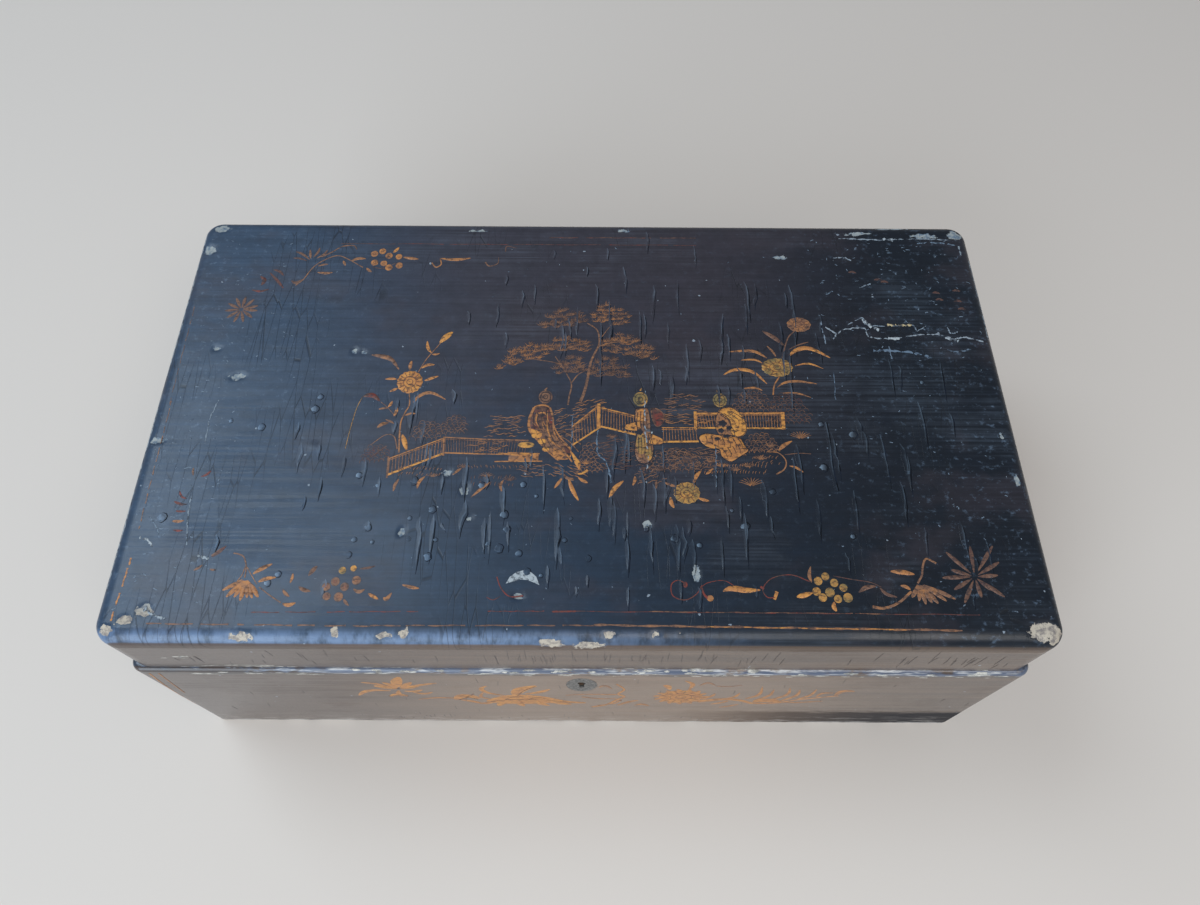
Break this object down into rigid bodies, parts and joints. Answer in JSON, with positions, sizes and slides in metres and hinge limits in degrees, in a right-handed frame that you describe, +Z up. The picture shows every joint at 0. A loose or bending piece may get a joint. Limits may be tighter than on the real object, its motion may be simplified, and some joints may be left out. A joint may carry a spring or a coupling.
{
  "type": "lacquer work box",
  "caption": "Low rectangular lacquered wooden box with a hinged, round-edged lid, gilt painted ornament, a front lock and a lift-out tray.",
  "frame": {"origin": "centre of the footprint on the surface that the box stands on", "axes": "+X along the length to the right seen from the front, +Y from the front to the hinged back, +Z up"},
  "size_m": [0.421, 0.24, 0.15],
  "materials": {
    "lacquer": "aged black lacquer over wood, brushed and crackled",
    "base_wood": "thin dark lacquer over plain softwood",
    "bamboo": "cut bamboo",
    "brass": "dull brass",
    "old_brass": "tarnished and painted over",
    "iron": "dark worked iron",
    "gilding": "worn gold on red size, painted on the lacquer",
    "gesso": "pale ground that shows where the lacquer has chipped"
  },
  "bodies": {
    "case": {"case_front_board": "lacquer", "case_back_board": "lacquer", "case_left_end": "lacquer", "case_right_end": "lacquer", "case_bottom_board": "base_wood", "bottom_board_pegs": "bamboo", "tray_bearer_left": "lacquer", "tray_bearer_right": "lacquer", "escutcheon": "old_brass", "escutcheon_pins": "old_brass", "lock_plate": "brass", "lock_cap": "brass", "lock_key_pin": "iron", "lock_bolt_stump": "iron", "lock_screws": "brass", "hinge_lower_leaf_left": "brass", "hinge_lower_leaf_right": "brass", "hinge_pin_left": "iron", "hinge_pin_right": "iron", "hinge_lower_screws": "brass"},
    "lid": {"lid_top_panel": "lacquer", "lid_front_rail": "lacquer", "lid_back_rail": "lacquer", "lid_left_rail": "lacquer", "lid_right_rail": "lacquer", "hinge_upper_leaf_left": "brass", "hinge_upper_leaf_right": "brass", "hinge_upper_screws": "brass", "link_plate": "brass", "link_plate_screws": "brass"},
    "tray": {"tray_bottom": "lacquer", "tray_front_side": "lacquer", "tray_back_side": "lacquer", "tray_left_end": "lacquer", "tray_right_end": "lacquer", "tray_left_bay_wall": "lacquer", "tray_right_bay_wall": "lacquer", "tray_left_row_divider": "lacquer", "tray_right_row_divider": "lacquer", "tray_middle_row_divider": "lacquer", "tray_knobs": "brass"},
    "bolt": {"lock_bolt": "iron"}
  },
  "joints": [
    {"name": "lid_hinge", "type": "hinge", "parent": "case", "child": "lid", "pos_m": [0, 0.1174, 0.10885], "axis": [-1, 0, 0], "range_deg": [0, 95]},
    {"name": "tray_lift", "type": "slide", "parent": "case", "child": "tray", "axis": [0, 0, 1], "range_m": [0, 0.028]},
    {"name": "bolt_slide", "type": "slide", "parent": "case", "child": "bolt", "axis": [1, 0, 0], "range_m": [0, 0.005]}
  ]
}
